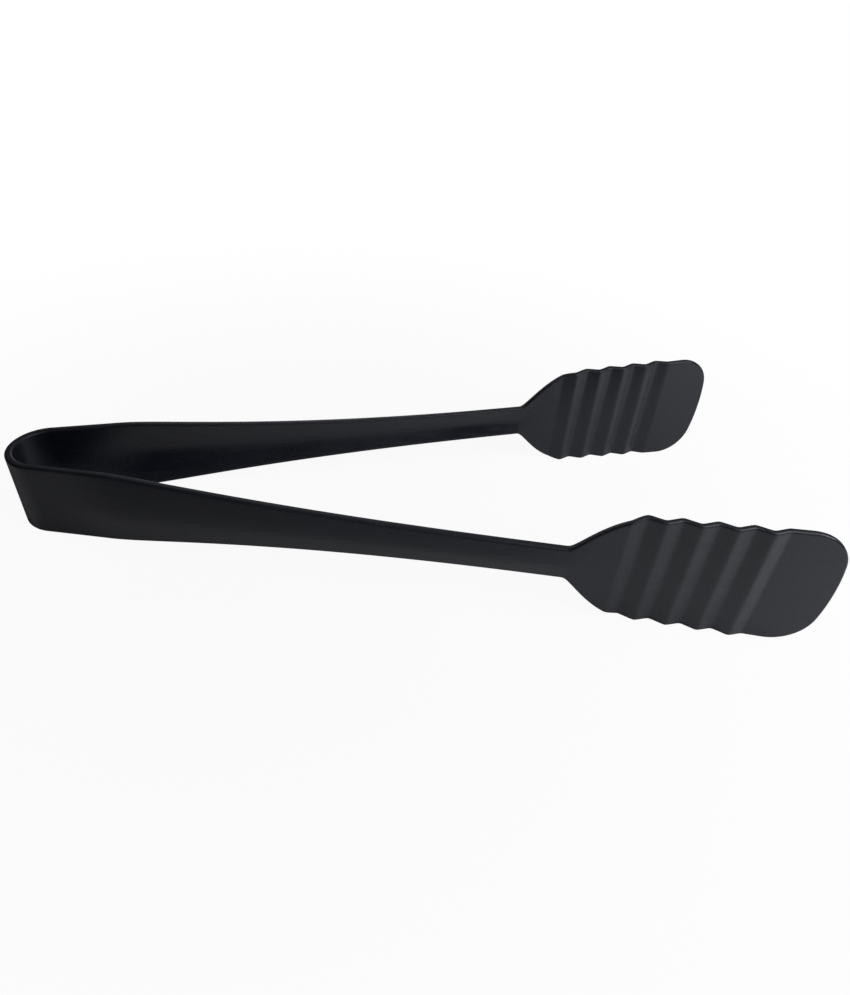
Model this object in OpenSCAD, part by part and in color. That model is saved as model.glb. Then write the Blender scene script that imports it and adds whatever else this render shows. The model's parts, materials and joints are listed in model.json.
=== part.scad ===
// Spring kitchen tongs moulded in one piece: a U-shaped bow spring, two dished arms
// and two broad corrugated heads, standing on their lower rims with the jaws open.
// X runs from the bow to the tips, Z is up, and XZ is the plane of symmetry.

/* [Bow spring] */
// Radius of the inside of the bow
bow_inner_r = 11.5; // [9:0.5:16]
// Angle that each arm leaves the bow at, from the plane of symmetry
splay = 9.7; // [7:0.1:11]
// Width of the strap at the bow and the shoulders
strap_w = 31; // [26:0.5:34]
// Wall of the bow, shoulders and arms
strap_wall = 2.8; // [2.2:0.1:3.4]
// Share of each half of the bow that lies before its flexing line
flex_share = 0.5; // [0.3:0.05:0.7]

/* [Shoulders and arms] */
// Length of the flat strap behind each arm
shoulder_l = 6; // [4:1:16]
// Length of each dished arm
arm_l = 194; // [160:1:220]
// Length of the arm's first part, which keeps the width of the strap
wide_l = 19; // [5:1:40]
// Angle that each arm bows outwards over its length
arm_bend = 1.6; // [0.6:0.1:4]
// How early the arm narrows, as the power of its taper
taper_power = 2.4; // [1.5:0.1:3]
// Softening of the corner where the taper starts
taper_ease = 0.06; // [0.02:0.01:0.2]
// Depth of the dish across the arm, as a share of half the arm's width
dish_share = 0.2; // [0.04:0.01:0.24]
// Share of the arm over which the dish deepens
dish_run = 0.15; // [0.1:0.05:0.8]
// Length of the arm's end over which the dish starts to fade
dish_fade = 15; // [0:1:30]
// Softness of the crease along the dish: near 0 for two flat flanks, near 1 for an even arch
crease_softness = 0.25; // [0.15:0.05:1]

/* [Necks] */
// Narrowest width, where the arm meets the neck
neck_w = 14.2; // [12:0.2:20]
// Length of the neck, from the narrowest place to the first crest
neck_l = 19; // [12:0.5:22]
// Length of the whole flare, from the narrowest place to the full head
flare_l = 27; // [22:0.5:34]
// How early the flare opens, as the power of its curve
flare_power = 0.6; // [0.4:0.02:1]
// Softening of the corner where the flare starts
flare_ease = 0.07; // [0.02:0.01:0.2]

/* [Heads] */
// Length of each head, from the first crest to the tip
head_l = 78; // [68:1:90]
// Greatest width of each head, where the tip corners start
head_w = 52.5; // [40:0.5:58]
// Wall of the heads
head_wall = 2.4; // [1.8:0.1:3]
// Distance from one corrugation crest to the next
wave_pitch = 12; // [9:0.5:13]
// Height of the corrugation, from valley to crest
wave_height = 2; // [0.6:0.1:2.6]
// How straight the corrugation's flanks are: near 0 for round waves, near 1 for sharp folds
wave_crispness = 0.92; // [0.1:0.01:0.98]
// Number of whole waves before the last fall to the flat tip
waves = 4; // [1:1:4]
// Radius of the two corners of the tip
corner_r = 16; // [8:0.5:18]
// Radius of the shallow curve along the tip's end
tip_r = 80; // [60:5:200]

/* [Rims] */
// Rounding of every rim
rim_r = 0.8; // [0.3:0.1:0.8]

/* [Hidden] */

NYLON = "#242527";
STRAP_NYLON = "#1e1f21";

// Fineness of the curved surfaces
arc_fn = 96;
rim_fn = 24;
face_strips = 14;
rim_steps = 3;
arm_stations = 30;
neck_stations = 14;
wave_steps = 14;
corner_steps = 8;
end_steps = 5;
end_margin = 0.5;

// Bow
bow_mid_r = bow_inner_r + strap_wall / 2;
bow_half_angle = 90 - splay;
flex_angle = bow_half_angle * flex_share;

// Places along the middle of the wall, measured from the end of the bow's curve
arm_start = shoulder_l;
taper_start = arm_start + wide_l;
taper_l = arm_l - wide_l;
neck_start = arm_start + arm_l;
head_start = neck_start + neck_l;
flare_end = neck_start + flare_l;
flat_start = head_start + (waves + 0.5) * wave_pitch;
tip_end = head_start + head_l;

// Heading of the straight neck and head, and the radius that the arm bends to
head_heading = splay + arm_bend;
bend_r = taper_l * 180 / (PI * arm_bend);

// Where the tip's corner and end curves touch, and where the corner starts
end_angle = asin((head_w / 2 - corner_r) / (tip_r - corner_r));
corner_start = tip_end - tip_r * (1 - cos(end_angle)) - corner_r * cos(end_angle);

// Standing pose: the lower rims of both heads and of the bow share one plane
bow_foot_r = bow_mid_r + strap_wall / 2 - rim_r;
rest_slope = (head_w - strap_w) / 2 / (path_x(corner_start) + bow_foot_r);
rest_tilt = atan(rest_slope);
lift = bow_foot_r * sin(rest_tilt) + strap_w / 2 * cos(rest_tilt);

// Ends of the standing part along X, for an origin in the middle
bow_reach = bow_foot_r * cos(rest_tilt) + (strap_w / 2 - rim_r) * sin(rest_tilt) + rim_r;
tip_out = wave_height + head_wall / 2 - rim_r;
tip_x = path_x(tip_end - rim_r) + tip_out * sin(head_heading);
tip_reach = tip_x * cos(rest_tilt) + rim_r;
middle_x = (tip_reach - bow_reach) / 2;

function clamp01(t) = min(1, max(0, t));
function ease(t) = let (u = clamp01(t)) u * u * (3 - 2 * u);

// 0 to 1 with the corner at 0 softened, so that it starts with no slope
function soft_start(t, softness) =
    let (u = clamp01(t))
    (sqrt(u * u + softness * softness) - softness) / (sqrt(1 + softness * softness) - softness);

// Middle of the wall: straight at first, bent where the arm narrows, then straight again
function heading(s) = splay + arm_bend * clamp01((s - taper_start) / taper_l);
function path_x(s) =
    let (a = heading(s))
    -bow_mid_r * sin(splay)
    + min(s, taper_start) * cos(splay)
    + bend_r * (sin(a) - sin(splay))
    + max(0, s - neck_start) * cos(a);
function path_y(s) =
    let (a = heading(s))
    bow_mid_r * cos(splay)
    + min(s, taper_start) * sin(splay)
    + bend_r * (cos(splay) - cos(a))
    + max(0, s - neck_start) * sin(a);

// A point at distance s along the path, out from the middle of the wall and up by z
function place(s, out, z) =
    let (a = heading(s))
    [path_x(s) - out * sin(a), path_y(s) + out * cos(a), z];

// Half the width of the arm at s, narrowing from the strap to the neck
function arm_half_w(s) =
    let (t = soft_start((s - taper_start) / taper_l, taper_ease))
    (neck_w + (strap_w - neck_w) * pow(1 - t, taper_power)) / 2;

// Half the width at s: the edges of the head lie in the planes that the tongs stand on
function standing_half_w(x) = strap_w / 2 + (x + bow_foot_r) * rest_slope;
function half_w(s, x) =
    let (flare = ease(pow(soft_start((s - neck_start) / flare_l, flare_ease), flare_power)))
    arm_half_w(s) * (1 - flare) + standing_half_w(x) * flare;

// How far the edge has come in from the full width at angle a round the tip, from 90 to 0
function tip_s(a) = a > end_angle
    ? corner_start + corner_r * cos(a)
    : tip_end - tip_r * (1 - cos(a));
function tip_in(a) = a > end_angle
    ? corner_r * (1 - sin(a))
    : head_w / 2 - tip_r * sin(a);

// Depth of the dish at s, and its height and slope at p, from 0 at the crease to 1 at the edge
function dish(s) =
    dish_share * arm_half_w(s) * ease((s - arm_start) / (arm_l * dish_run))
    * (1 - ease((s - neck_start + dish_fade) / (neck_l + dish_fade)));
function crease(p) = sqrt(p * p + crease_softness * crease_softness);
function dish_height(p) = (crease(1) - crease(p)) / (crease(1) - crease(0));
function dish_slope(p) = p / crease(p) / (crease(1) - crease(0));

// Wall thickness, and the height of the corrugation
function wall(s) = strap_wall + (head_wall - strap_wall) * ease((s - neck_start) / neck_l);
function wave(s) =
    let (phase = min(max(0, s - head_start) / wave_pitch, waves + 0.5))
    -wave_height * (1 - asin(wave_crispness * cos(360 * phase)) / asin(wave_crispness)) / 2;

// One ring round the wall, as [place across, inset from the edge, outer or inner face, drop]
function rim_arc(across, face, angles) = [
    for (a = angles) [across, rim_r * (1 - cos(a)), face, rim_r * (1 - sin(a))]
];
function ring_plan(strips) =
    let (step = 90 / rim_steps)
    concat(
        [for (i = [0 : strips]) [2 * i / strips - 1, rim_r, 1, 0]],
        rim_arc(1, 1, [90 - step : -step : 0]),
        rim_arc(1, -1, [0 : step : 90 - step]),
        [for (i = [0 : strips]) [1 - 2 * i / strips, rim_r, -1, 0]],
        rim_arc(-1, -1, [90 - step : -step : 0]),
        rim_arc(-1, 1, [0 : step : 90 - step])
    );

// A ring of the arm or neck at s, square to the path
function strap_ring(s) = [
    for (p = ring_plan(face_strips))
    let (
        h = p[2] * (wall(s) / 2 - p[3]),
        half = half_w(s, path_x(s) - h * sin(heading(s))),
        z = p[0] * (half - p[1]),
        tilt = dish(s) * dish_slope(z / half) / half
    )
    place(s, dish(s) * dish_height(z / half) + h * sqrt(1 + tilt * tilt), z)
];

// A ring of the head at s, whose edge faces angle a in plan and has come in by edge_in
function head_ring(s, a, edge_in) = [
    for (p = ring_plan(1))
    let (
        sp = s - p[1] * cos(a),
        out = wave(sp) + p[2] * (wall(sp) / 2 - p[3]),
        half = half_w(sp, path_x(sp) - out * sin(heading(sp))) - edge_in
    )
    place(sp, out, p[0] * (half - p[1] * sin(a)))
];

// Faces that close a ring, each between two neighbouring points and their opposites
function wrap(j, n) = (j + n) % n;
function closing_faces(n, first, last, turn) = [
    for (j = [first : last - 1]) [for (k = [j, j + 1, turn - j - 1, turn - j]) wrap(k, n)]
];
function reversed(face, base) = [for (i = [len(face) - 1 : -1 : 0]) base + face[i]];

// Skin through rings of equal length. A flat end joins the outer face to the inner one, and
// the end of the tip joins each point to its mirror image across the middle.
module skin(rings, at_tip = false) {
    n = len(rings[0]);
    far = (len(rings) - 1) * n;
    strips = n / 2 - 1 - 2 * rim_steps;
    flat_end = closing_faces(n, -rim_steps, strips + rim_steps, n - 1 - 2 * rim_steps);
    tip_end_faces = closing_faces(n, 1, n / 2, n + 1);
    sides = [
        for (i = [0 : len(rings) - 2], j = [0 : n - 1])
        let (a = i * n, b = a + n, k = (j + 1) % n)
        each [[a + j, b + j, a + k], [b + j, b + k, a + k]]
    ];
    far_end = [for (face = at_tip ? tip_end_faces : flat_end) reversed(face, far)];
    polyhedron(points = [for (ring = rings) each ring], faces = concat(flat_end, sides, far_end));
}

// Cross-section of the bow and the shoulder: a flat strap with rounded rims
module strap_profile() {
    square([strap_wall - 2 * rim_r, strap_w], center = true);
    square([strap_wall, strap_w - 2 * rim_r], center = true);
    for (x = [-1, 1], y = [-1, 1])
        translate([x * (strap_wall / 2 - rim_r), y * (strap_w / 2 - rim_r)])
            circle(rim_r, $fn = rim_fn);
}

// The strap bent round the bow's centre, from one angle to the other
module bent_strap(from_angle, to_angle) {
    rotate([0, 0, from_angle])
        rotate_extrude(angle = to_angle - from_angle, $fn = arc_fn)
            translate([bow_mid_r, 0])
                strap_profile();
}

// Stands the tongs on their lower rims, with the origin on the ground under the middle
module standing() {
    translate([-middle_x, 0, lift])
        rotate([0, -rest_tilt, 0])
            children();
}

// Middle of the bow, between its two flexing lines
module spring_bow() {
    color(STRAP_NYLON)
        standing()
            bent_strap(180 - flex_angle, 180 + flex_angle);
}

// Rest of the bow's curve and the flat strap behind the arm
module shoulder() {
    rotate([0, 0, splay]) {
        bent_strap(90, 90 + bow_half_angle - flex_angle);
        translate([0, bow_mid_r, 0])
            rotate([90, 0, 90])
                linear_extrude(shoulder_l)
                    strap_profile();
    }
}

// Tapering arm, dished across its width so that its back is crowned
module arm() {
    skin([for (i = [0 : arm_stations]) strap_ring(arm_start + arm_l * i / arm_stations)]);
}

// Narrow neck that flares into the head and loses its dish on the way
module neck() {
    skin([for (i = [0 : neck_stations]) strap_ring(neck_start + neck_l * i / neck_stations)]);
}

// Broad head: straight corrugations across it, then a flat tip with round corners
module head() {
    wave_stations = (waves + 0.5) * wave_steps;
    skin(concat(
        [
            for (i = [0 : wave_stations])
            let (s = head_start + i * wave_pitch / wave_steps)
            if (s < corner_start) head_ring(s, 90, 0)
        ],
        [
            for (i = [0 : corner_steps])
            let (a = 90 + (end_angle - 90) * i / corner_steps)
            head_ring(tip_s(a), a, tip_in(a))
        ],
        [
            for (i = [1 : end_steps])
            let (a = end_angle + (end_margin - end_angle) * i / end_steps)
            head_ring(tip_s(a), a, tip_in(a))
        ]
    ), at_tip = true);
}

module left_shoulder() { color(STRAP_NYLON) standing() shoulder(); }
module left_arm() { color(STRAP_NYLON) standing() arm(); }
module left_neck() { color(NYLON) standing() neck(); }
module left_head() { color(NYLON) standing() head(); }
module right_shoulder() { color(STRAP_NYLON) standing() mirror([0, 1, 0]) shoulder(); }
module right_arm() { color(STRAP_NYLON) standing() mirror([0, 1, 0]) arm(); }
module right_neck() { color(NYLON) standing() mirror([0, 1, 0]) neck(); }
module right_head() { color(NYLON) standing() mirror([0, 1, 0]) head(); }

spring_bow();
left_shoulder();
left_arm();
left_neck();
left_head();
right_shoulder();
right_arm();
right_neck();
right_head();
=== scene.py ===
import json
from math import asin, ceil, cos, pi, radians, sin, tan

import bpy
import numpy as np
from mathutils import Matrix, Vector


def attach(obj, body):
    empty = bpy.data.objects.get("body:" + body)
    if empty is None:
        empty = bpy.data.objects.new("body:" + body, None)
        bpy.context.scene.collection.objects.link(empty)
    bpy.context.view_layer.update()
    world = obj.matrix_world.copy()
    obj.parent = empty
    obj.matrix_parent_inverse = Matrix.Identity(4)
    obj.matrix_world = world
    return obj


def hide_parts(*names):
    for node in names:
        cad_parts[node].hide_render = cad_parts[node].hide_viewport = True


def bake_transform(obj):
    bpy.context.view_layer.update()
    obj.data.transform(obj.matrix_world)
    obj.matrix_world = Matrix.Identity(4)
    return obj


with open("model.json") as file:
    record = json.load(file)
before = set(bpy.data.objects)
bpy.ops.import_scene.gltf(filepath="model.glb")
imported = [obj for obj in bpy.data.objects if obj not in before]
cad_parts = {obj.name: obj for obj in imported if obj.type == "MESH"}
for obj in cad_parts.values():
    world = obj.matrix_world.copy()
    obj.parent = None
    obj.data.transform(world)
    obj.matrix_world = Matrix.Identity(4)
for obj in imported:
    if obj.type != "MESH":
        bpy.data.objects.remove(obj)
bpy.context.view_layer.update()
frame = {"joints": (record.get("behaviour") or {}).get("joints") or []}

MM = 0.001

# ---------------------------------------------------------------- camera
# A hand-held view over the right arm, close to the tongs and looking down at them. The sensor's
# width lies along the long side of the picture.
CAMERA_PLACE = (-0.0237, -0.2315, 0.1936)
LOOK_DOWN = radians(37.69)
LOOK_RIGHT = radians(8.28)
HELD_ASKEW = radians(6.98)
LENS_MM = 25.27
SENSOR_MM = 36
NEAREST_SEEN = 10 * MM

camera_data = bpy.data.cameras.new("camera")
camera_data.lens = LENS_MM
camera_data.sensor_width = SENSOR_MM
camera_data.clip_start = NEAREST_SEEN
camera = bpy.data.objects.new("camera", camera_data)
camera.matrix_world = (
    Matrix.Translation(CAMERA_PLACE)
    @ Matrix.Rotation(-LOOK_RIGHT, 4, "Z")
    @ Matrix.Rotation(pi / 2 - LOOK_DOWN, 4, "X")
    @ Matrix.Rotation(HELD_ASKEW, 4, "Z")
)
bpy.context.scene.collection.objects.link(camera)
bpy.context.scene.camera = camera

# ---------------------------------------------------------------- spring bow
# The bow is the U-shaped end of the moulding, with the flat shoulders of the strap behind each
# arm. It is solid nylon, moulded in its curve, and its own springiness holds the jaws open.
# It is drawn as two halves that meet in the middle.
BOW_INNER_R = 11.5 * MM
SPLAY = radians(9.7)
STRAP_W = 31 * MM
STRAP_WALL = 2.8 * MM
SHOULDER_L = 6 * MM
RIM_R = 0.8 * MM
STRIPS = 24  # faces across the strap, between its rims
RIM_STEPS = 4  # faces round each rounded corner of the wall
END_FACES = STRIPS + 2 * RIM_STEPS  # faces that close a cut end
BOW_RINGS = 36
SHOULDER_RINGS = 4
PATH_STEP = 0.25 * MM

bow_r = BOW_INNER_R + STRAP_WALL / 2
half_turn = pi / 2 - SPLAY

# The strap is bent level, round a bow with its centre at the origin. The left jaw's hinge says
# where the bow stands, and how far the tongs tilt because the heads are wider than the bow. The
# bow stands on its lower rim, behind its centre.
squeeze = next(joint for joint in frame["joints"] if joint["name"] == "left_squeeze")
tilt = asin(squeeze["axis"][0])
tilted = Matrix.Rotation(-tilt, 4, "Y")
hinge_from_centre = Vector((-cos(half_turn / 2), sin(half_turn / 2), 0)) * BOW_INNER_R
standing = Matrix.Translation(Vector(squeeze["pos_m"]) - tilted @ hinge_from_centre) @ tilted
foot_from_centre = bow_r + STRAP_WALL / 2 - RIM_R


def add(tree, kind, inputs=None, output=0, **settings):
    """Adds a node with its settings, sets or links its inputs, and returns one of its outputs."""
    node = tree.nodes.new(kind)
    for setting, value in settings.items():
        setattr(node, setting, value)
    for socket, value in (inputs or {}).items():
        if isinstance(value, bpy.types.NodeSocket):
            tree.links.new(value, node.inputs[socket])
        else:
            node.inputs[socket].default_value = value
    return node.outputs[output]


def ring_plan():
    """The points round the wall, up its outer face and down its inner face. They are given as
    share of the half width, way in from the edge, face (1 outer, -1 inner) and fall from it."""
    turn = np.linspace(pi / 2, 0, RIM_STEPS + 1)[1:]
    across = np.linspace(-1, 1, STRIPS + 1)
    flat = np.ones(STRIPS + 1)
    rim = np.ones(RIM_STEPS)
    way_in = RIM_R * (1 - np.cos(turn))
    fall = RIM_R * (1 - np.sin(turn))
    return (
        np.concatenate([across, rim, rim, -across, -rim, -rim]),
        np.concatenate([RIM_R * flat, way_in, way_in[::-1]] * 2),
        np.concatenate([flat, rim, -rim, -flat, -rim, rim]),
        np.concatenate([0 * flat, fall, fall[::-1]] * 2),
    )


def closing_faces(base, first, last, turn, count):
    """Faces across a ring, each between two neighbouring points and the two opposite ones. A
    point that comes twice in a face is taken once."""
    faces = []
    for j in range(first, last):
        corners = dict.fromkeys(k % count for k in (turn - j, turn - j - 1, j + 1, j))
        faces.append([base + k for k in corners])
    return faces


def flat_blank(name, rings, wall, narrow, flare, round_tip=False):
    """One length of the moulding before it is bent. X runs along it, Y is height in its wall, and
    its attributes say how wide it will be. Each ring is the distance along, the angle that its
    edge faces, and how far its edge has come in."""
    across, way_in, face, fall = ring_plan()
    along, facing, edge_in = (np.array(column)[:, None] for column in zip(*rings))
    along = along - way_in * np.cos(facing)
    points = np.stack([along, face * (wall(along) / 2 - fall), 0 * along], axis=2)
    count = len(across)
    last_ring = (len(rings) - 1) * count
    sides = [
        [a + j, a + (j + 1) % count, a + count + (j + 1) % count, a + count + j]
        for a in range(0, last_ring, count)
        for j in range(count)
    ]

    # A cut end is closed from face to face, and a round tip from its lower half to its upper.
    face_to_face = (-RIM_STEPS, STRIPS + RIM_STEPS, count - 1 - 2 * RIM_STEPS, count)
    half_to_half = (STRIPS // 2, STRIPS // 2 + count // 2, STRIPS, count)
    near_end = closing_faces(0, *face_to_face)
    far_end = closing_faces(last_ring, *(half_to_half if round_tip else face_to_face))
    far_end = [corners[::-1] for corners in far_end]

    blank = bpy.data.meshes.new(name)
    blank.from_pydata(points.reshape(-1, 3), [], near_end + sides + far_end)
    smooth = [False] * len(near_end) + [True] * len(sides) + [round_tip] * len(far_end)
    blank.polygons.foreach_set("use_smooth", smooth)
    shares = {
        "across": across + 0 * along,
        "inset": edge_in + way_in * np.sin(facing),
        "narrow_half": narrow(along) / 2,
        "flare": flare(along),
    }
    for share, values in shares.items():
        attribute = blank.attributes.new(share, "FLOAT", "POINT")
        attribute.data.foreach_set("value", values.astype(np.float32).ravel())
    return blank


# The tree bends a flat blank along the path of the strap's middle, gives it its width, dishes it
# across and presses the corrugation into it.
press = bpy.data.node_groups.new("bend and press the blank", "GeometryNodeTree")
press.interface.new_socket("Geometry", in_out="OUTPUT", socket_type="NodeSocketGeometry")
press.interface.new_socket("Flat blank", in_out="INPUT", socket_type="NodeSocketGeometry")
for size in (
    "Bow radius", "Splay", "Bend start", "Bend end", "Arm bend",
    "Wall", "Half width at centre", "Half width slope", "Tip end",
    "Dish share", "Dish start", "Dish full", "Dish fade start", "Dish fade end",
    "Crease softness", "Inner groove",
    "Wave start", "Wave end", "Wave count", "Wave height", "Wave crispness",
):
    press.interface.new_socket(size, in_out="INPUT", socket_type="NodeSocketFloat")
press.interface.new_socket("Path start", in_out="INPUT", socket_type="NodeSocketVector")
press.interface.new_socket("Path points", in_out="INPUT", socket_type="NodeSocketInt")
press.interface.new_socket("Material", in_out="INPUT", socket_type="NodeSocketMaterial")

MATH = "ShaderNodeMath"
RANGE = "ShaderNodeMapRange"
VECTOR = "ShaderNodeVectorMath"
given = add(press, "NodeGroupInput").node.outputs

# The path turns a quarter round the bow, runs straight, and bends outwards along the arm. It is
# laid out in short steps, each with the heading at its own middle.
path_start = add(press, MATH, {0: given["Bow radius"], 1: -pi / 2}, operation="MULTIPLY")
first_middle = add(press, MATH, {0: path_start, 1: PATH_STEP / 2}, operation="ADD")
index = add(press, "GeometryNodeInputIndex")
middle_s = add(
    press, MATH, {0: index, 1: PATH_STEP, 2: first_middle}, operation="MULTIPLY_ADD"
)
first_heading = add(press, MATH, {0: given["Splay"], 1: pi / 2}, operation="ADD")
bow_heading = add(
    press, RANGE, {0: middle_s, 1: path_start, 2: 0.0, 3: first_heading, 4: given["Splay"]}
)
arm_heading = add(
    press, RANGE,
    {0: middle_s, 1: given["Bend start"], 2: given["Bend end"], 3: 0.0, 4: given["Arm bend"]},
)
heading = add(press, MATH, {0: bow_heading, 1: arm_heading}, operation="ADD")
step_x = add(press, MATH, {0: heading}, operation="COSINE")
step_y = add(press, MATH, {0: heading}, operation="SINE")
direction = add(press, "ShaderNodeCombineXYZ", {0: step_x, 1: step_y})
step = add(press, VECTOR, {0: direction, 3: PATH_STEP}, operation="SCALE")
travelled = add(
    press, "GeometryNodeAccumulateField", {0: step}, output="Trailing", data_type="FLOAT_VECTOR"
)
path_place = add(press, VECTOR, {0: given["Path start"], 1: travelled}, operation="ADD")
path_line = add(press, "GeometryNodeMeshLine", {0: given["Path points"], 3: (PATH_STEP, 0, 0)})
bent_line = add(press, "GeometryNodeSetPosition", {0: path_line, 2: path_place})
path = add(press, "GeometryNodeMeshToCurve", {0: bent_line})

# Each point of the blank finds its place on the path and the way outwards there.
flat_point = add(press, "GeometryNodeInputPosition")
flat = add(press, "ShaderNodeSeparateXYZ", {0: flat_point}).node.outputs
along_path = add(press, MATH, {0: flat["X"], 1: path_start}, operation="SUBTRACT")
on_path = add(
    press, "GeometryNodeSampleCurve", {"Curves": path, "Length": along_path}, mode="LENGTH"
).node.outputs
outward = add(press, VECTOR, {0: (0, 0, 1), 1: on_path["Tangent"]}, operation="CROSS_PRODUCT")
blank_share = {
    share: add(press, "GeometryNodeInputNamedAttribute", {0: share}, data_type="FLOAT")
    for share in ("across", "inset", "narrow_half", "flare")
}

# The corrugation starts on a crest that is level with the arm, and each wave falls inwards. The
# crisper it is, the straighter are its flanks and the tighter its crests and valleys.
full_turns = add(press, MATH, {0: given["Wave count"], 1: 2 * pi}, operation="MULTIPLY")
phase = add(
    press, RANGE,
    {0: flat["X"], 1: given["Wave start"], 2: given["Wave end"], 3: 0.0, 4: full_turns},
)
swing = add(press, MATH, {0: phase}, operation="COSINE")
crisp_swing = add(press, MATH, {0: swing, 1: given["Wave crispness"]}, operation="MULTIPLY")
folded = add(press, MATH, {0: crisp_swing}, operation="ARCSINE")
full_fold = add(press, MATH, {0: given["Wave crispness"]}, operation="ARCSINE")
lowest = add(press, MATH, {0: full_fold, 1: -1.0}, operation="MULTIPLY")
valley = add(press, MATH, {0: given["Wave height"], 1: -1.0}, operation="MULTIPLY")
wave = add(press, RANGE, {0: folded, 1: lowest, 2: full_fold, 3: valley, 4: 0.0})

# The edges of the flare and the head lie in the two planes that the tongs can stand on.
level = add(press, MATH, {0: wave, 1: flat["Y"]}, operation="ADD")
beside = add(
    press, VECTOR, {0: outward, 1: level, 2: on_path["Position"]}, operation="MULTIPLY_ADD"
)
beside_x = add(press, "ShaderNodeSeparateXYZ", {0: beside}, output="X")
standing_half = add(
    press, MATH,
    {0: beside_x, 1: given["Half width slope"], 2: given["Half width at centre"]},
    operation="MULTIPLY_ADD",
)
half_width = add(
    press, RANGE,
    {0: blank_share["flare"], 1: 0.0, 2: 1.0, 3: blank_share["narrow_half"], 4: standing_half},
)
inside = add(press, MATH, {0: half_width, 1: blank_share["inset"]}, operation="SUBTRACT")
up = add(press, MATH, {0: blank_share["across"], 1: inside}, operation="MULTIPLY")

# The dish deepens over the first stretch of the arm and dies out in the neck. It folds the wall
# along a crease that is a hyperbola, soft in the middle and nearly straight on both sides.
deepening = add(
    press, RANGE,
    {0: flat["X"], 1: given["Dish start"], 2: given["Dish full"], 3: 0.0, 4: given["Dish share"]},
    interpolation_type="SMOOTHSTEP",
)
fading = add(
    press, RANGE,
    {0: flat["X"], 1: given["Dish fade start"], 2: given["Dish fade end"], 3: 1.0, 4: 0.0},
    interpolation_type="SMOOTHSTEP",
)
dish_share = add(press, MATH, {0: deepening, 1: fading}, operation="MULTIPLY")
dish = add(press, MATH, {0: dish_share, 1: blank_share["narrow_half"]}, operation="MULTIPLY")
softness = given["Crease softness"]
softness_squared = add(press, MATH, {0: softness, 1: softness}, operation="MULTIPLY")
edge_squared = add(press, MATH, {0: softness_squared, 1: 1.0}, operation="ADD")
edge_reach = add(press, MATH, {0: edge_squared}, operation="SQRT")
whole_fall = add(press, MATH, {0: edge_reach, 1: softness}, operation="SUBTRACT")
place = add(press, MATH, {0: up, 1: half_width}, operation="DIVIDE")
here_squared = add(
    press, MATH, {0: place, 1: place, 2: softness_squared}, operation="MULTIPLY_ADD"
)
here_reach = add(press, MATH, {0: here_squared}, operation="SQRT")
rise = add(
    press, RANGE, {0: here_reach, 1: softness, 2: edge_reach, 3: dish, 4: 0.0}, clamp=False
)

# The wall keeps its thickness square to the fold, except that the groove along the inside of
# the crease is pressed deeper than the back is crowned.
steepness = add(press, MATH, {0: dish, 1: whole_fall}, operation="DIVIDE")
leaning = add(press, MATH, {0: place, 1: here_reach}, operation="DIVIDE")
fall = add(press, MATH, {0: steepness, 1: leaning}, operation="MULTIPLY")
slope = add(press, MATH, {0: fall, 1: half_width}, operation="DIVIDE")
stretch_squared = add(press, MATH, {0: slope, 1: slope, 2: 1.0}, operation="MULTIPLY_ADD")
stretch = add(press, MATH, {0: stretch_squared}, operation="SQRT")
outer_face = add(press, MATH, {0: given["Wall"], 1: 0.5}, operation="MULTIPLY")
inner_face = add(press, MATH, {0: given["Wall"], 1: -0.5}, operation="MULTIPLY")
grooving = add(
    press, RANGE,
    {0: flat["Y"], 1: inner_face, 2: outer_face, 3: given["Inner groove"], 4: 0.0},
)
hollowed = add(press, MATH, {0: rise, 1: grooving, 2: rise}, operation="MULTIPLY_ADD")
crown = add(press, MATH, {0: hollowed, 1: wave}, operation="ADD")
out = add(press, MATH, {0: flat["Y"], 1: stretch, 2: crown}, operation="MULTIPLY_ADD")

level_place = add(
    press, VECTOR, {0: outward, 1: out, 2: on_path["Position"]}, operation="MULTIPLY_ADD"
)
upwards = add(press, "ShaderNodeCombineXYZ", {2: up})
bent_place = add(press, VECTOR, {0: level_place, 1: upwards}, operation="ADD")
bent = add(press, "GeometryNodeSetPosition", {0: given["Flat blank"], 2: bent_place})

# About how far each point lies from the rim, for the wear there. It takes the tip as square, so
# the wear passes by its round corners.
sideways = add(press, MATH, {0: up}, operation="ABSOLUTE")
from_side = add(press, MATH, {0: half_width, 1: sideways}, operation="SUBTRACT")
from_tip = add(press, MATH, {0: given["Tip end"], 1: flat["X"]}, operation="SUBTRACT")
from_rim = add(press, MATH, {0: from_side, 1: from_tip}, operation="MINIMUM")
measured = add(
    press, "GeometryNodeStoreNamedAttribute", {0: bent, 2: "from_rim", 3: from_rim},
    data_type="FLOAT", domain="POINT",
)
real = add(press, "GeometryNodeRealizeInstances", {0: measured})
finished = add(press, "GeometryNodeSetMaterial", {0: real, 2: given["Material"]})
group_output = press.nodes.new("NodeGroupOutput")
press.links.new(finished, group_output.inputs[0])

# A piece with no tip has its rims only at its sides, and one with no wave or crease still has
# values that the tree can divide by.
NO_TIP = 1.0
ANY_SHAPE = 0.5
common_sizes = {
    "Bow radius": bow_r,
    "Splay": SPLAY,
    "Path start": Vector((-cos(SPLAY), -sin(SPLAY), 0)) * bow_r,
    "Wall": STRAP_WALL,
    "Half width slope": tan(tilt),
    "Half width at centre": STRAP_W / 2 + foot_from_centre * tan(tilt),
    "Tip end": NO_TIP,
    "Wave crispness": ANY_SHAPE,
    "Crease softness": ANY_SHAPE,
}


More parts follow.
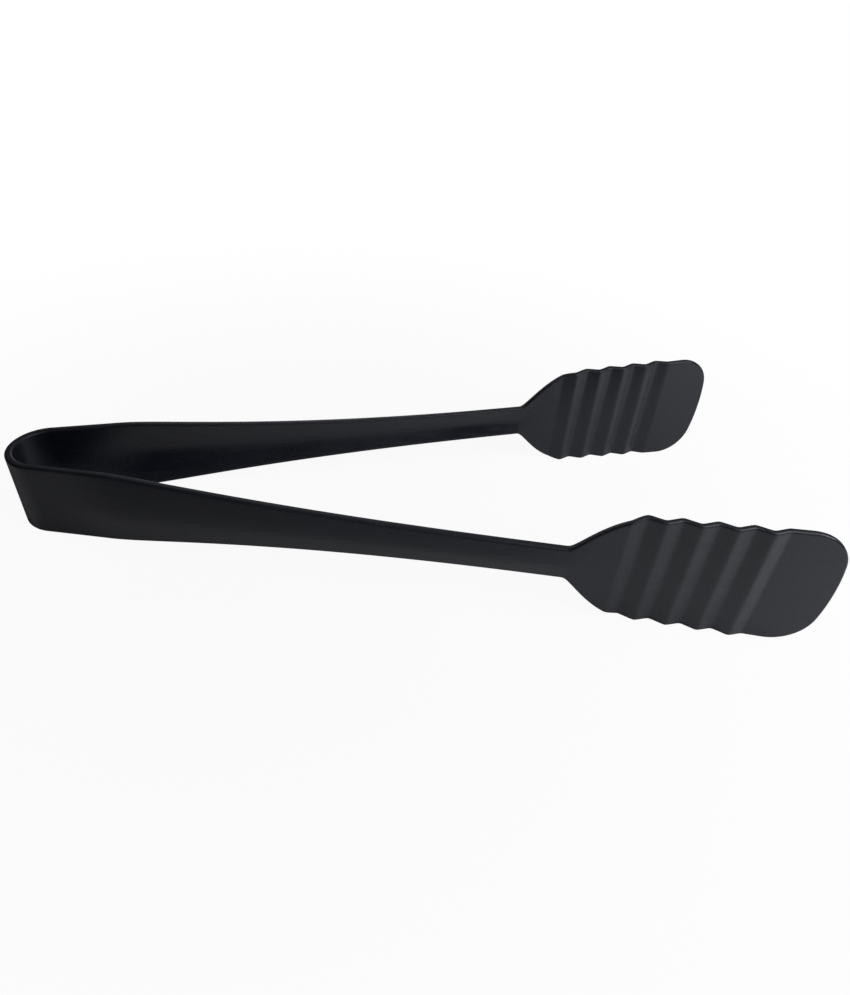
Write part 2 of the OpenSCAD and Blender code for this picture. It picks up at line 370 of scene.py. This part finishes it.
def normal_sums(piece):
    """The normals of the faces round each point of a piece's skin, added up ring by ring."""
    places = np.empty(len(piece.data.vertices) * 3)
    piece.data.vertices.foreach_get("co", places)
    corner = places.reshape(-1, len(ring_plan()[0]), 3)
    neighbour = np.roll(corner, -1, axis=1)
    normals = np.cross(neighbour[1:] - corner[:-1], corner[1:] - neighbour[:-1])
    sums = np.zeros_like(corner)
    for rings in (sums[:-1], sums[1:]):
        rings += normals + np.roll(normals, 1, axis=1)
    return sums


def shade(piece, sums):
    """Gives the skin its smooth normals, and keeps the cut ends flat. A head has one cut end."""
    mesh = piece.data
    smooth = (sums / np.linalg.norm(sums, axis=2, keepdims=True)).reshape(-1, 3)
    skin_end = len(mesh.polygons)
    if "head" not in piece.name:
        skin_end -= END_FACES
    skin_faces = range(END_FACES, skin_end)
    normals = [
        smooth[mesh.loops[loop].vertex_index] if face.index in skin_faces else face.normal
        for face in mesh.polygons
        for loop in face.loop_indices
    ]
    mesh.normals_split_custom_set(normals)


def mould(name, blank, material, path_end, sizes):
    """The left piece that the tree makes of a blank, as a plain mesh, and its mirror image."""
    left = bpy.data.objects.new("left_" + name, blank)
    modifier = left.modifiers.new("press", "NODES")
    modifier.node_group = press
    values = {
        **common_sizes, **sizes,
        "Material": material,
        "Path points": ceil((path_end + bow_r * pi / 2) / PATH_STEP) + 2,
    }
    for socket in press.interface.items_tree:
        if socket.name in values:
            modifier[socket.identifier] = values[socket.name]
    bpy.context.scene.collection.objects.link(left)
    bpy.context.view_layer.update()
    evaluated = left.evaluated_get(bpy.context.evaluated_depsgraph_get())
    plain = bpy.data.meshes.new_from_object(evaluated)
    left.modifiers.remove(modifier)
    plain.transform(standing)
    left.data = plain
    opposite = plain.copy()
    opposite.transform(Matrix.Scale(-1, 4, (0, 1, 0)))
    opposite.flip_normals()
    right = bpy.data.objects.new("right_" + name, opposite)
    bpy.context.scene.collection.objects.link(right)
    return {"left": left, "right": right}


def linear(hex_colour):
    """An sRGB hex colour as the linear colour that a shader takes."""
    parts = [int(hex_colour[i:i + 2], 16) / 255 for i in (1, 3, 5)]
    return [p / 12.92 if p <= 0.04045 else ((p + 0.055) / 1.055) ** 2.4 for p in parts] + [1]


# Black nylon with a bluish cast. Its paleness runs from the first colour to the second, and the
# dullness of a mark is what it adds to the roughness. The real grain, about 0.1 mm wide, is too
# fine to show, so it is drawn coarser and deeper.
NYLON_IOR = 1.53
NYLON_BLACK = "#11131c"
RUBBED_NYLON = "#1d1f29"
CLOUD_SIZE = 22 * MM
CLOUD_LOW = 0.3
CLOUD_HIGH = 0.7
CLOUD_PALENESS = 0.4
SATIN = 0.27
CLOUDY_SATIN = 0.33
RUB_SIZE = 3 * MM
RUB_LOW = 0.45
RUB_HIGH = 0.7
RUB_PALENESS = 0.6
PALE_RIM = (0.2 * MM, 1.6 * MM)
DULL_RIM = (0.4 * MM, 1.4 * MM)
RIM_DULLNESS = 0.25
SCUFF_SIZE = (40 * MM, 3 * MM, 1.5 * MM)
SCUFF_LOW = 0.5
SCUFF_HIGH = 0.75
SCUFF_DULLNESS = 0.12
GRAIN_SIZE = 0.9 * MM
GRAIN_DEPTH = 0.12 * MM
GRAIN_STRENGTH = 0.6


def satin_nylon(name):
    """Black nylon from a finely blasted mould. It is nearly black under a satin gloss, with fine
    grain, a cloudy sheen where the melt flowed, faint scuffs, and rims rubbed paler and duller."""
    material = bpy.data.materials.new(name)
    material.use_nodes = True
    tree = material.node_tree
    shader = tree.nodes["Principled BSDF"]
    shader.inputs["IOR"].default_value = NYLON_IOR
    coords = add(tree, "ShaderNodeTexCoord", output="Object")
    clouds = add(
        tree, "ShaderNodeTexNoise", {"Vector": coords, "Scale": 1 / CLOUD_SIZE, "Detail": 3.0}
    )
    rim = add(tree, "ShaderNodeAttribute", output="Fac", attribute_name="from_rim")
    near_rim = add(tree, RANGE, {0: rim, 1: PALE_RIM[0], 2: PALE_RIM[1], 3: 1.0, 4: 0.0})
    rubs = add(
        tree, "ShaderNodeTexNoise", {"Vector": coords, "Scale": 1 / RUB_SIZE, "Detail": 2.0}
    )
    patches = add(tree, RANGE, {0: rubs, 1: RUB_LOW, 2: RUB_HIGH, 3: 0.0, 4: RUB_PALENESS})
    worn = add(tree, MATH, {0: near_rim, 1: patches}, operation="MULTIPLY")
    cloudy = add(tree, RANGE, {0: clouds, 1: CLOUD_LOW, 2: CLOUD_HIGH, 3: 0.0, 4: CLOUD_PALENESS})
    paleness = add(tree, MATH, {0: worn, 1: cloudy}, operation="ADD")
    colour = add(
        tree, "ShaderNodeMix", {0: paleness, 6: linear(NYLON_BLACK), 7: linear(RUBBED_NYLON)},
        output=2, data_type="RGBA",
    )
    tree.links.new(colour, shader.inputs["Base Color"])

    per_scuff = tuple(1 / size for size in SCUFF_SIZE)
    stretched = add(tree, "ShaderNodeMapping", {"Vector": coords, "Scale": per_scuff})
    streaks = add(tree, "ShaderNodeTexNoise", {"Vector": stretched, "Scale": 1.0, "Detail": 4.0})
    scuffs = add(tree, RANGE, {0: streaks, 1: SCUFF_LOW, 2: SCUFF_HIGH, 3: 0.0, 4: SCUFF_DULLNESS})
    sheen = add(tree, RANGE, {0: clouds, 1: CLOUD_LOW, 2: CLOUD_HIGH, 3: SATIN, 4: CLOUDY_SATIN})
    dull_rim = add(tree, RANGE, {0: rim, 1: DULL_RIM[0], 2: DULL_RIM[1], 3: RIM_DULLNESS, 4: 0.0})
    scuffed = add(tree, MATH, {0: sheen, 1: scuffs}, operation="ADD")
    roughness = add(tree, MATH, {0: scuffed, 1: dull_rim}, operation="ADD")
    tree.links.new(roughness, shader.inputs["Roughness"])

    grain = add(
        tree, "ShaderNodeTexNoise", {"Vector": coords, "Scale": 1 / GRAIN_SIZE, "Detail": 3.0}
    )
    bump = add(
        tree, "ShaderNodeBump",
        {"Height": grain, "Strength": GRAIN_STRENGTH, "Distance": GRAIN_DEPTH},
    )
    tree.links.new(bump, shader.inputs["Normal"])
    return material


strap_nylon = satin_nylon("satin injection-moulded nylon of the strap")

bow_rings = [(s, pi / 2, 0) for s in np.linspace(-bow_r * half_turn, 0, BOW_RINGS + 1)]
bow_rings += [(s, pi / 2, 0) for s in np.linspace(0, SHOULDER_L, SHOULDER_RINGS + 1)[1:]]
bow_halves = mould(
    "bow_half",
    flat_blank(
        "bow blank", bow_rings,
        wall=lambda s: STRAP_WALL + 0 * s, narrow=lambda s: STRAP_W + 0 * s, flare=lambda s: 0 * s,
    ),
    strap_nylon, SHOULDER_L, {},
)

# Each half keeps its place as it stands and takes the place of the bow and its shoulder.
for side, half in bow_halves.items():
    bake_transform(half)
    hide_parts("spring_bow", side + "_shoulder")

# ---------------------------------------------------------------- arms
# Each arm is a long strap that narrows towards the neck and bows outwards as it does. It is the
# same nylon moulding, folded a little along its middle for stiffness, and the groove along its
# inside is deeper than the crown along its back.
ARM_L = 194 * MM
WIDE_L = 19 * MM  # the length that keeps the strap's full width
ARM_BEND = radians(1.6)
NECK_W = 14.2 * MM
TAPER_POWER = 2.4
TAPER_EASE = 0.06
DISH_SHARE = 0.2  # depth of the fold as a share of the half width
DISH_RUN = 0.15  # share of the arm over which the fold deepens
DISH_FADE = 15 * MM
CREASE_SOFTNESS = 0.25
INNER_GROOVE = 0.4  # extra depth on the inside as a share of the fold
NECK_L = 19 * MM
ARM_RINGS = 90

arm_start = SHOULDER_L
taper_start = arm_start + WIDE_L
neck_start = arm_start + ARM_L
head_start = neck_start + NECK_L
arm_sizes = {
    "Bend start": taper_start,
    "Bend end": neck_start,
    "Arm bend": ARM_BEND,
    "Dish share": DISH_SHARE,
    "Dish start": arm_start,
    "Dish full": arm_start + ARM_L * DISH_RUN,
    "Dish fade start": neck_start - DISH_FADE,
    "Dish fade end": head_start,
    "Crease softness": CREASE_SOFTNESS,
    "Inner groove": INNER_GROOVE,
}


def soft_start(share, softness):
    """0 to 1 with the corner at 0 softened, so that it starts with no slope."""
    share = np.clip(share, 0, 1)
    return (np.hypot(share, softness) - softness) / (np.hypot(1, softness) - softness)


def arm_width(s):
    """Full width of the arm, which narrows quickly at first and slowly near the neck."""
    narrowing = soft_start((s - taper_start) / (neck_start - taper_start), TAPER_EASE)
    return NECK_W + (STRAP_W - NECK_W) * (1 - narrowing) ** TAPER_POWER


arms = mould(
    "dished_arm",
    flat_blank(
        "arm blank",
        [(s, pi / 2, 0) for s in np.linspace(arm_start, neck_start, ARM_RINGS + 1)],
        wall=lambda s: STRAP_WALL + 0 * s, narrow=arm_width, flare=lambda s: 0 * s,
    ),
    strap_nylon, neck_start, arm_sizes,
)
for side, arm in arms.items():
    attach(arm, side + "_jaw")
    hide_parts(side + "_arm")

# ---------------------------------------------------------------- necks
# The neck is the narrow root of the head. It is the same nylon, opening in a quick flare while
# the dish of the arm dies out and the wall thins to that of the head.
FLARE_L = 27 * MM
FLARE_POWER = 0.6
FLARE_EASE = 0.07
HEAD_WALL = 2.4 * MM
NECK_RINGS = 34


def ease(share):
    """0 to 1 with no slope at either end."""
    share = np.clip(share, 0, 1)
    return share * share * (3 - 2 * share)


def head_flare(s):
    """How far the outline has opened from the narrow neck to the full head."""
    return ease(soft_start((s - neck_start) / FLARE_L, FLARE_EASE) ** FLARE_POWER)


def head_wall(s):
    """Wall thickness, which thins along the neck."""
    return STRAP_WALL + (HEAD_WALL - STRAP_WALL) * ease((s - neck_start) / NECK_L)


head_nylon = satin_nylon("satin injection-moulded nylon of the heads")
necks = mould(
    "flared_neck",
    flat_blank(
        "neck blank",
        [(s, pi / 2, 0) for s in np.linspace(neck_start, head_start, NECK_RINGS + 1)],
        wall=head_wall, narrow=lambda s: NECK_W + 0 * s, flare=head_flare,
    ),
    head_nylon, head_start, arm_sizes,
)
for side, neck in necks.items():
    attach(neck, side + "_jaw")
    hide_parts(side + "_neck")

# ---------------------------------------------------------------- heads
# Each head is a broad thin blade that grips the food. Corrugations moulded straight across it
# hold what is slippery, and its flat tip has round corners and a shallow curve along its end.
HEAD_L = 78 * MM
HEAD_W = 52.5 * MM
WAVE_PITCH = 12 * MM
WAVE_HEIGHT = 2 * MM
WAVE_CRISPNESS = 0.92
WAVES = 4.5
CORNER_R = 16 * MM
TIP_R = 80 * MM
WAVE_RING_STEP = 0.4 * MM
CORNER_RINGS = 20
END_RINGS = 16
END_MARGIN = radians(0.2)  # the last ring keeps a little width, which its faces close

tip_end = head_start + HEAD_L
end_angle = asin((HEAD_W / 2 - CORNER_R) / (TIP_R - CORNER_R))
corner_start = tip_end - TIP_R * (1 - cos(end_angle)) - CORNER_R * cos(end_angle)
straight = np.arange(0, corner_start - head_start - WAVE_RING_STEP / 2, WAVE_RING_STEP)
head_rings = [(head_start + s, pi / 2, 0) for s in straight]
head_rings += [
    (corner_start + CORNER_R * cos(a), a, CORNER_R * (1 - sin(a)))
    for a in np.linspace(pi / 2, end_angle, CORNER_RINGS + 1)
]
head_rings += [
    (tip_end - TIP_R * (1 - cos(a)), a, HEAD_W / 2 - TIP_R * sin(a))
    for a in np.linspace(end_angle, END_MARGIN, END_RINGS + 1)[1:]
]
head_sizes = {
    **arm_sizes,
    "Wave start": head_start,
    "Wave end": head_start + WAVES * WAVE_PITCH,
    "Wave count": WAVES,
    "Wave height": WAVE_HEIGHT,
    "Wave crispness": WAVE_CRISPNESS,
    "Tip end": tip_end,
}
heads = mould(
    "corrugated_head",
    flat_blank(
        "head blank", head_rings,
        wall=head_wall, narrow=lambda s: NECK_W + 0 * s, flare=head_flare, round_tip=True,
    ),
    head_nylon, tip_end, head_sizes,
)
for side, head in heads.items():
    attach(head, side + "_jaw")
    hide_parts(side + "_head")

# One moulding shows no joints, so the pieces share their normals where they meet. The two halves
# of the bow mirror each other, so the normals in its middle lean to neither side.
NO_LEAN = (1, 0, 1)
for side in ("left", "right"):
    line = [pieces[side] for pieces in (bow_halves, arms, necks, heads)]
    sums = [normal_sums(piece) for piece in line]
    sums[0][0] *= NO_LEAN
    for here, following in zip(sums, sums[1:]):
        here[-1] += following[0]
        following[0] = here[-1]
    for piece, piece_sums in zip(line, sums):
        shade(piece, piece_sums if side == "left" else -piece_sums)

# ---------------------------------------------------------------- studio
# A plain white floor and soft light. The floor is almost pure white where the camera sees it,
# and near the tongs it lets enough of the lit paper through to keep their shadow.
FLOOR_REACH = 20
PAPER_WHITE = "#f2f2f2"
PURE_WHITE = (1, 1, 1, 1)
NEAR_MIDDLE = 0.05
FAR_FROM_MIDDLE = 0.4
GLOW_NEAR_MIDDLE = 0.93

floor_mesh = bpy.data.meshes.new("floor")
floor_corners = [
    (x * FLOOR_REACH, y * FLOOR_REACH, 0) for x, y in ((-1, -1), (1, -1), (1, 1), (-1, 1))
]
floor_mesh.from_pydata(floor_corners, [], [(0, 1, 2, 3)])
floor = bpy.data.objects.new("floor", floor_mesh)
bpy.context.scene.collection.objects.link(floor)

paper = bpy.data.materials.new("white studio paper")
paper.use_nodes = True
paper_tree = paper.node_tree
paper_tree.nodes.remove(paper_tree.nodes["Principled BSDF"])
matt_white = add(paper_tree, "ShaderNodeBsdfDiffuse", {"Color": linear(PAPER_WHITE)})
glow = add(paper_tree, "ShaderNodeEmission", {"Color": PURE_WHITE, "Strength": 1.0})
camera_ray = add(paper_tree, "ShaderNodeLightPath", output="Is Camera Ray")
floor_point = add(paper_tree, "ShaderNodeTexCoord", output="Object")
from_middle = add(paper_tree, VECTOR, {0: floor_point}, output="Value", operation="LENGTH")
whiteness = add(
    paper_tree, RANGE,
    {0: from_middle, 1: NEAR_MIDDLE, 2: FAR_FROM_MIDDLE, 3: GLOW_NEAR_MIDDLE, 4: 1.0},
    interpolation_type="SMOOTHSTEP",
)
glow_share = add(paper_tree, MATH, {0: camera_ray, 1: whiteness}, operation="MULTIPLY")
paper_surface = add(paper_tree, "ShaderNodeMixShader", {0: glow_share, 1: matt_white, 2: glow})
paper_tree.links.new(paper_surface, paper_tree.nodes["Material Output"].inputs["Surface"])
floor_mesh.materials.append(paper)

# The room is dim, so that the lamps shape the nylon, and white only where the camera sees it.
DIM_ROOM = (0.02, 0.02, 0.02, 1)
world = bpy.data.worlds.new("studio room")
bpy.context.scene.world = world
world.use_nodes = True
room = world.node_tree
background = room.nodes["Background"]
seen = add(room, "ShaderNodeLightPath", output="Is Camera Ray")
tone = add(
    room, "ShaderNodeMix", {0: seen, 6: DIM_ROOM, 7: PURE_WHITE}, output=2, data_type="RGBA"
)
room.links.new(tone, background.inputs["Color"])

# A small key stands past the tips on the right arm's side, and two broader lamps stand far out
# past the left arm. All three are a slightly cool white and face the heads.
HEADS = Vector((0.12, 0, 0))
COOL_WHITE = (0.94, 0.955, 1)
for name, place_m, size_m, watts in (
    ("key", (0.333, -0.166, 0.322), 0.3, 1.58),
    ("fill", (-0.05, 0.97, 0.7), 1.2, 0.65),
    ("back", (-0.1, 1.17, 0.25), 0.6, 2.4),
):
    lamp = bpy.data.lights.new(name, "AREA")
    lamp.size = size_m
    lamp.energy = watts
    lamp.color = COOL_WHITE
    lamp_object = bpy.data.objects.new(name, lamp)
    lamp_object.location = place_m
    lamp_object.rotation_euler = (Vector(place_m) - HEADS).to_track_quat("Z", "Y").to_euler()
    bpy.context.scene.collection.objects.link(lamp_object)

bpy.context.scene.view_settings.view_transform = "Standard"
